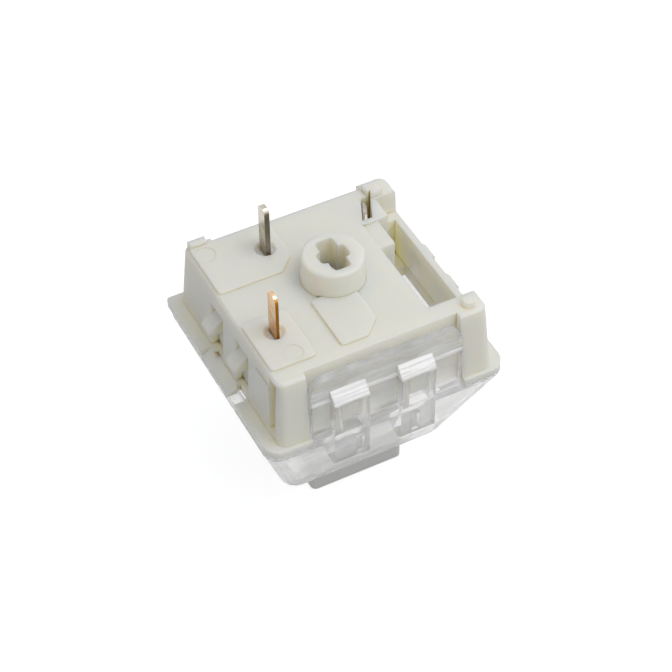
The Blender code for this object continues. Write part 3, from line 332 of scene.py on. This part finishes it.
@dataclass(frozen=True)
class ClearPlastic:
    """Clear moulded plastic with flow waves, a little milk in it, and a painted highlight on its loops' ramps,
    laid on as white milk in level streaks.

    Lengths and places are in millimetres.
    """

    name: str
    colour: Colour = (0.98, 0.98, 0.98)
    shade: Colour = (0.93, 0.93, 0.92)
    milk_and_highlight: Colour = (0.99, 0.99, 0.98)
    roughness: float = 0.04
    milk_and_highlight_roughness: float = 0.3
    body: float = 0.8
    clarity: float = 0.9
    ior: float = 1.42
    waves: Grain = Grain(0.7, 2.0)
    wave_band: Band = (0.3, 0.7)
    wave_depth: float = 0.06
    wave_strength: float = 0.5
    edge_radius: float = 0.09
    haze: Grain = Grain(5.0, 3.0)
    haze_dulling: float = 0.08
    veil: float = 0.1
    cloud: Grain = Grain(0.9, 2.0)
    cloud_band: Band = (0.3, 0.7)
    cloud_share: float = 0.08
    # Where the painted highlight lies on the loops' ramps, and how much white milk paints it.
    ramp_x: float = 6.86
    ramp_z: Band = (12.55, 13.7)
    ramp_blur: float = 0.04
    ramp_highlight_share: float = 0.5
    streaks: tuple[float, float, float] = (0.4, 0.35, 9.0)
    streak_band: Band = (0.38, 0.66)
    streak_share: float = 0.35

    def material(self) -> bpy.types.Material:
        """Build the material.

        Returns:
            The material.
        """
        tree = ShaderTree(bpy.data.materials.new(self.name))
        waves = tree.noise(self.waves)
        haze = tree.noise(self.haze)
        normal = tree.bump(waves, self.wave_depth, self.wave_strength, tree.rounded(self.edge_radius))
        clear = tree.principled(
            {
                "Base Color": tree.mix(waves.span(*self.wave_band), self.shade, self.colour),
                "Roughness": haze * self.haze_dulling + self.roughness,
                "Transmission Weight": self.clarity,
                "Alpha": self.body,
                "IOR": self.ior,
                "Normal": normal,
            }
        )
        # White milk, for the thin veil and for the painted highlight on the ramps.
        milk_and_highlight_shader = tree.principled(
            {"Base Color": self.milk_and_highlight, "Roughness": self.milk_and_highlight_roughness, "Normal": normal}
        )
        return tree.close(tree.blend(self.milk_and_ramp_highlight(tree), clear, milk_and_highlight_shader))

    def milk_and_ramp_highlight(self, tree: ShaderTree) -> Wire:
        """Paint a highlight on the loops' ramps as white milk in fine level streaks, with a thin veil of milk
        everywhere.

        Args:
            tree: the material's node tree.

        Returns:
            How much of the white milk is mixed in, 0..1: the veil everywhere, and on the ramps the painted
            highlight.
        """
        x, _, z = tree.parts(tree.place())
        low, high = self.ramp_z
        proud = abs(x).span(self.ramp_x - self.ramp_blur, self.ramp_x + self.ramp_blur)
        above = z.span(low - self.ramp_blur, low)
        below = 1.0 - z.span(high, high + self.ramp_blur)
        streaks = tree.stretched(self.streaks).span(*self.streak_band)
        cloud = tree.noise(self.cloud).span(*self.cloud_band)
        # The ramps' painted highlight, in level streaks, added to the veil of milk.
        ramps = proud * (above * below) * (streaks * self.streak_share + self.ramp_highlight_share)
        return ramps + (cloud * self.cloud_share + (self.veil - self.cloud_share / 2.0))


@dataclass(frozen=True)
class PlatedMetal:
    """Stamped and plated metal, dulled in blotches, with fine marks along its length and painted shade on its
    faces that face along X.

    Lengths are in millimetres.
    """

    name: str
    colour: Colour
    dull: Colour
    # edge is painted shade for the faces that face along X, not a colour of the metal.
    edge: Colour
    roughness: float = 0.25
    blotch: Grain = Grain(1.6, 3.0)
    blotch_band: Band = (0.35, 0.7)
    blotch_dulling: float = 0.08
    marks: tuple[float, float, float] = (18.0, 18.0, 1.2)
    mark_dulling: float = 0.18
    mean_dulling: float = 0.1
    mark_depth: float = 0.004
    mark_strength: float = 0.5
    edge_radius: float = 0.04
    side_shade_band: Band = (0.5, 0.9)

    def material(self) -> bpy.types.Material:
        """Build the material.

        Returns:
            The material.
        """
        tree = ShaderTree(bpy.data.materials.new(self.name))
        blotch = tree.noise(self.blotch).span(*self.blotch_band)
        marks = tree.stretched(self.marks)
        # Painted shade: faces that face along X take the darker edge colour.
        across, _, _ = tree.parts(tree.node("ShaderNodeTexCoord", {}, "Normal"))
        painted_side_shade = abs(across).span(*self.side_shade_band)
        wear = marks * self.mark_dulling + blotch * self.blotch_dulling
        shader = tree.principled(
            {
                "Base Color": tree.mix(painted_side_shade, tree.mix(blotch, self.colour, self.dull), self.edge),
                "Metallic": 1.0,
                "Roughness": wear + (self.roughness - self.mean_dulling),
                "Normal": tree.bump(marks, self.mark_depth, self.mark_strength, tree.rounded(self.edge_radius)),
            }
        )
        return tree.close(shader)


class Finish(Enum):
    """Every finish on the switch."""

    # Each plastic's colours: its own, a painted recess shading (a warm glow on the ivory, shade on the others)
    # that also tints its mottle, and a painted crevice shade.
    IVORY = MouldedPlastic("ivory", (0.79, 0.775, 0.71), (0.98, 0.92, 0.66), (0.30, 0.23, 0.11))
    WHITE = MouldedPlastic("white", (0.74, 0.73, 0.70), (0.45, 0.42, 0.36), (0.30, 0.28, 0.24))
    STEM = MouldedPlastic(
        "stem grey",
        (0.74, 0.73, 0.70),
        (0.72, 0.70, 0.64),
        (0.5, 0.48, 0.44),
        roughness=0.38,
        translucency=0.3,
        reach=(1.0, 0.95, 0.9),
    )
    CLEAR = ClearPlastic("clear")
    # Each metal's third colour is painted shade for its faces that face along X.
    SILVER = PlatedMetal("nickel plate", (0.58, 0.54, 0.47), (0.42, 0.38, 0.32), (0.27, 0.23, 0.18))
    GOLD = PlatedMetal("gold plate", (0.86, 0.62, 0.41), (0.74, 0.45, 0.24), (0.34, 0.14, 0.015))
    STEEL = PlatedMetal("spring steel", (0.56, 0.54, 0.51), (0.30, 0.27, 0.24), (0.50, 0.48, 0.45), 0.3)
    BRONZE = PlatedMetal("leaf bronze", (0.80, 0.58, 0.34), (0.58, 0.38, 0.2), (0.62, 0.44, 0.26))


@dataclass
class FinishedNodes:
    """CAD nodes whose shapes stay as they are and get their finish."""

    finishes: Mapping[str, Finish]

    def dress(self) -> None:
        """Give each node its material."""
        made: dict[Finish, bpy.types.Material] = {}
        for name, finish in self.finishes.items():
            if finish not in made:
                made[finish] = finish.value.material()
            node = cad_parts[name]
            node.data.materials.clear()
            node.data.materials.append(made[finish])
            LOG.info("%s: %s", name, finish.value.name)


@dataclass
class ReturnSpring:
    """The return spring as a round wire, between the stem and the floor.

    Wire is the radius of the wire, and closed_rise is how far its first and its last turn climb.
    """

    node: str = "return_spring"
    body: str = "housing"
    joint: str = "stem_press"
    travel: float = 3.6 * MM
    wire: float = 0.14 * MM
    wire_sides: int = 12
    turns: int = 9
    turn_steps: int = 28
    closed_rise: float = 0.308 * MM

    def build(self) -> bpy.types.Object:
        """Build, dress and attach the spring.

        Returns:
            The spring's object.
        """
        low, high = (Vector(corner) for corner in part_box(self.node))
        mesh = bpy.data.meshes.new(self.node)
        bm = self.wind(low.z + self.wire, high.z - self.wire, high.x - self.wire)
        bm.to_mesh(mesh)
        bm.free()
        mesh.shade_smooth()
        mesh.materials.append(Finish.STEEL.value.material())
        spring = bpy.data.objects.new("round_spring", mesh)
        bpy.context.scene.collection.objects.link(spring)
        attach(spring, self.body)
        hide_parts(self.node)
        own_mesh(spring)
        LOG.info("%s: %d faces", spring.name, len(mesh.polygons))
        return spring

    def wind(self, low: float, high: float, radius: float) -> bmesh.types.BMesh:
        """Wind the wire up from its lower closed turn to its upper one.

        Args:
            low: height of the wire's centre at its lower end.
            high: height of the wire's centre at its upper end.
            radius: distance of the wire's centre from the axis.

        Returns:
            The closed mesh of the wire.
        """
        bm = bmesh.new()
        stand = Matrix.Translation((radius, 0.0, low)) @ Matrix.Rotation(math.pi / 2.0, 4, "X")
        bmesh.ops.create_circle(bm, segments=self.wire_sides, radius=self.wire, cap_ends=False, matrix=stand)
        end: list[Any] = list(bm.edges)
        open_turns = self.turns - 2
        open_rise = high - low - 2.0 * self.closed_rise
        for turns, rise in ((1, self.closed_rise), (open_turns, open_rise), (1, self.closed_rise)):
            steps = turns * self.turn_steps
            spun = bmesh.ops.spin(
                bm,
                geom=end,
                cent=(0.0, 0.0, 0.0),
                axis=(0.0, 0.0, 1.0),
                dvec=(0.0, 0.0, rise / steps),
                angle=turns * math.tau,
                steps=steps,
                use_merge=False,
            )
            end = [item for item in spun["geom_last"] if isinstance(item, bmesh.types.BMEdge)]
        bmesh.ops.holes_fill(bm, edges=[edge for edge in bm.edges if edge.is_boundary], sides=0)
        bmesh.ops.recalc_face_normals(bm, faces=bm.faces)
        self.order_faces(bm)
        return bm

    def order_faces(self, bm: bmesh.types.BMesh) -> None:
        """Sort the faces by their points, because spin leaves them in another order on each run.

        Args:
            bm: the wire's mesh, whose points come in the same order on each run.
        """
        bm.verts.index_update()
        points = len(bm.verts)

        def rank(face: bmesh.types.BMFace) -> int:
            """A number for each face from its highest and lowest point."""
            numbers = [vert.index for vert in face.verts]
            return max(numbers) * points + min(numbers)

        bm.faces.sort(key=rank)


@dataclass(frozen=True)
class Lamp:
    """A square lamp, by its place and side in millimetres and its power in watts."""

    name: str
    place: tuple[float, float, float]
    side: float
    watts: float

    def hang(self, aim: Vector) -> None:
        """Add the lamp.

        Args:
            aim: the point that it faces, in metres.
        """
        light = bpy.data.lights.new(self.name, "AREA")
        light.shape = "SQUARE"
        light.size = self.side * MM
        light.energy = self.watts
        lamp = bpy.data.objects.new(self.name, light)
        lamp.location = Vector(self.place) * MM
        lamp.rotation_euler = (aim - lamp.location).to_track_quat("-Z", "Y").to_euler()
        bpy.context.scene.collection.objects.link(lamp)


@dataclass
class Studio:
    """The pale floor, the lamps and the camera, all round the switch.

    Angles are in degrees, lengths in millimetres. A large soft key stands above and to the right, and the
    loops' ramps reflect a small strip. Pixels is the camera's focal length in pixels of a frame that is
    frame_pixels wide.
    """

    azimuth: float = 63.07
    elevation: float = 46.40
    roll: float = 0.68
    distance: float = 119.6
    pixels: float = 2048.8
    frame_pixels: float = 672.0
    sensor: float = 36.0
    shift: tuple[float, float] = (0.17, -3.50)
    aim: float = 14.75
    clip: Band = (5.0, 5000.0)
    floor_half: float = 900.0
    floor_grey: float = 0.5
    floor_glow: float = 0.76
    world_colour: Colour = (0.97, 0.98, 1.0)
    world_strength: float = 0.56
    lamp_aim: float = 9.0
    lamps: tuple[Lamp, ...] = (
        Lamp("key", (40.0, 45.0, 130.0), 90.0, 0.065),
        Lamp("strip", (100.0, 41.0, 76.0), 24.0, 0.008),
    )

    def build(self) -> None:
        """Build the whole studio."""
        self.build_world()
        self.build_floor()
        for lamp in self.lamps:
            lamp.hang(Vector((0.0, 0.0, self.lamp_aim)) * MM)
        self.build_camera()

    def build_world(self) -> None:
        """An even world that is white as a backdrop and dimmer as a light."""
        world = bpy.data.worlds.new("studio")
        bpy.context.scene.world = world
        tree = ShaderTree(world, "ShaderNodeOutputWorld")
        light = tree.node("ShaderNodeBackground", {"Color": self.world_colour, "Strength": self.world_strength})
        white = tree.node("ShaderNodeBackground", {"Color": WHITE_LIGHT, "Strength": 1.0})
        tree.close(tree.blend(tree.backdrop_rays(), light, white))

    def build_floor(self) -> None:
        """A wide pale floor under the stem, which glows as a backdrop and keeps its shadows."""
        bm = bmesh.new()
        bmesh.ops.create_grid(bm, x_segments=1, y_segments=1, size=self.floor_half * MM)
        mesh = bpy.data.meshes.new("studio_floor")
        bm.to_mesh(mesh)
        bm.free()
        floor = bpy.data.objects.new("studio_floor", mesh)
        bpy.context.scene.collection.objects.link(floor)
        tree = ShaderTree(bpy.data.materials.new("floor"))
        diffuse = tree.node("ShaderNodeBsdfDiffuse", {"Color": (self.floor_grey,) * 3})
        glow = tree.node("ShaderNodeEmission", {"Color": WHITE_LIGHT, "Strength": self.floor_glow})
        both = tree.node("ShaderNodeAddShader", {0: diffuse, 1: glow})
        mesh.materials.append(tree.close(tree.blend(tree.backdrop_rays(), diffuse, both)))

    def build_camera(self) -> None:
        """The photograph's camera."""
        turn, rise, lean = (math.radians(angle) for angle in (self.azimuth, self.elevation, self.roll))
        back = Vector((math.sin(turn) * math.cos(rise), -math.cos(turn) * math.cos(rise), math.sin(rise)))
        level = Vector((math.cos(turn), math.sin(turn), 0.0))
        upright = back.cross(level)
        right = level * math.cos(lean) - upright * math.sin(lean)
        up = level * math.sin(lean) + upright * math.cos(lean)
        centre = Vector((0.0, 0.0, self.aim)) + right * self.shift[0] + up * self.shift[1]
        data = bpy.data.cameras.new("photograph")
        data.sensor_fit = "HORIZONTAL"
        data.sensor_width = self.sensor
        data.lens = self.sensor * self.pixels / self.frame_pixels
        data.clip_start, data.clip_end = (distance * MM for distance in self.clip)
        camera = bpy.data.objects.new("photograph", data)
        basis = Matrix((right, up, back)).transposed().to_4x4()
        camera.matrix_world = Matrix.Translation((centre + back * self.distance) * MM) @ basis
        bpy.context.scene.collection.objects.link(camera)
        bpy.context.scene.camera = camera


def main() -> None:
    """Dress the switch and set up its studio."""
    logging.basicConfig(level=logging.INFO)
    bpy.context.scene.view_settings.view_transform = "Standard"
    FinishedNodes(
        {
            "bottom_housing": Finish.IVORY,
            "top_housing": Finish.CLEAR,
            "stem": Finish.STEM,
            "click_bar": Finish.STEEL,
            "moving_terminal": Finish.SILVER,
            "fixed_terminal": Finish.GOLD,
            "contact_leaf": Finish.BRONZE,
            "moving_contact": Finish.GOLD,
            "fixed_contact": Finish.GOLD,
            "contact_pusher": Finish.WHITE,
            "contact_box_cover": Finish.WHITE,
        }
    ).dress()
    ReturnSpring().build()
    Studio().build()


if __name__ == "__main__":
    main()
